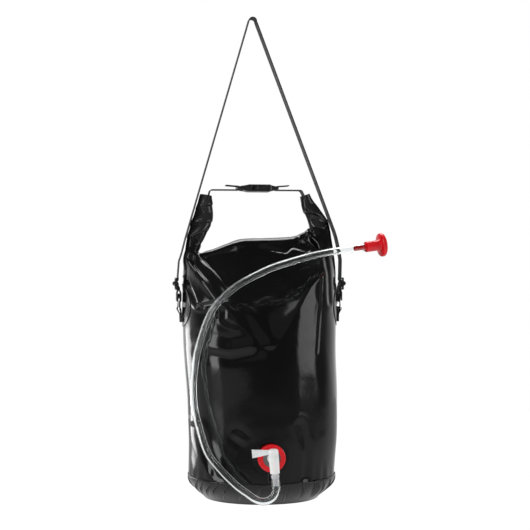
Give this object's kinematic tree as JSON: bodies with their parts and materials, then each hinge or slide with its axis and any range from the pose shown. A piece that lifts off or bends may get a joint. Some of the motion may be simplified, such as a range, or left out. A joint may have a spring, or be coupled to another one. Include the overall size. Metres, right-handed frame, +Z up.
{
  "type": "camp shower bag",
  "caption": "Roll-top camp shower bag hung by its shoulder strap, with a tap, a clear hose and a red shower head.",
  "frame": {"origin": "hang point: the middle of the underside of the shoulder strap's top bend, where it rests on a hook", "axes": "+Z up, -Y out of the front where the tap is, +X to the right seen from the front, towards the shower head"},
  "size_m": [0.3191, 0.2715, 0.7426],
  "materials": {
    "black_pvc": "glossy PVC coated fabric",
    "base_pvc": "glossy PVC coated fabric",
    "welded_pvc": "satin PVC coated fabric",
    "black_webbing": "woven, matte",
    "black_moulding": "satin moulded",
    "plated_steel": "nickel plated wire",
    "red_moulding": "glossy moulded",
    "white_moulding": "milky moulded",
    "grey_seal": "matte rubber washer",
    "black_rubber": "matte",
    "clear_pvc": "clear flexible tube"
  },
  "bodies": {
    "strap": {"shoulder_strap": "black_webbing", "left_slider": "black_moulding", "right_slider": "black_moulding"},
    "bag": {"bag_body": "black_pvc", "base_cup": "base_pvc", "back_seam": "welded_pvc", "rolled_mouth": "black_pvc", "left_side_patch": "welded_pvc", "right_side_patch": "welded_pvc", "left_ring_tab": "black_webbing", "right_ring_tab": "black_webbing", "left_d_ring": "plated_steel", "right_d_ring": "plated_steel", "left_closure_webbing": "black_webbing", "right_closure_webbing": "black_webbing", "buckle_socket": "black_moulding", "buckle_prong_base": "black_moulding", "outlet_flange": "welded_pvc", "port_seal": "grey_seal", "collar_nut": "red_moulding", "tap_body": "white_moulding", "hose": "clear_pvc", "shower_stem": "red_moulding", "stem_o_ring": "black_rubber"},
    "tap_valve": {"tap_lever": "white_moulding", "plug_o_ring": "black_rubber"},
    "rose": {"shower_rose": "red_moulding", "spray_plate": "red_moulding"},
    "front_latch": {"buckle_front_latch": "black_moulding"},
    "back_latch": {"buckle_back_latch": "black_moulding"}
  },
  "joints": [
    {"name": "bag_swing", "type": "hinge", "parent": "strap", "child": "bag", "pos_m": [0.0115, 0, -0.444], "axis": [1, 0, 0], "range_deg": [-30, 30]},
    {"name": "lever_turn", "type": "hinge", "parent": "bag", "child": "tap_valve", "pos_m": [0.01402, -0.14903, -0.6665], "axis": [-0.0785, 0, 0.9969], "range_deg": [0, 90]},
    {"name": "front_latch_squeeze", "type": "hinge", "parent": "bag", "child": "front_latch", "pos_m": [0.0216, -0.0098, -0.2638], "axis": [0, 0, -1], "range_deg": [0, 12], "stiffness_Nm_per_rad": 0.3},
    {"name": "back_latch_squeeze", "type": "hinge", "parent": "bag", "child": "back_latch", "pos_m": [0.0216, 0.0098, -0.2638], "axis": [0, 0, 1], "range_deg": [0, 12], "stiffness_Nm_per_rad": 0.3},
    {"name": "rose_pull", "type": "slide", "parent": "bag", "child": "rose", "axis": [0.9781, 0.1637, 0.1288], "range_m": [0, 0.006]}
  ]
}
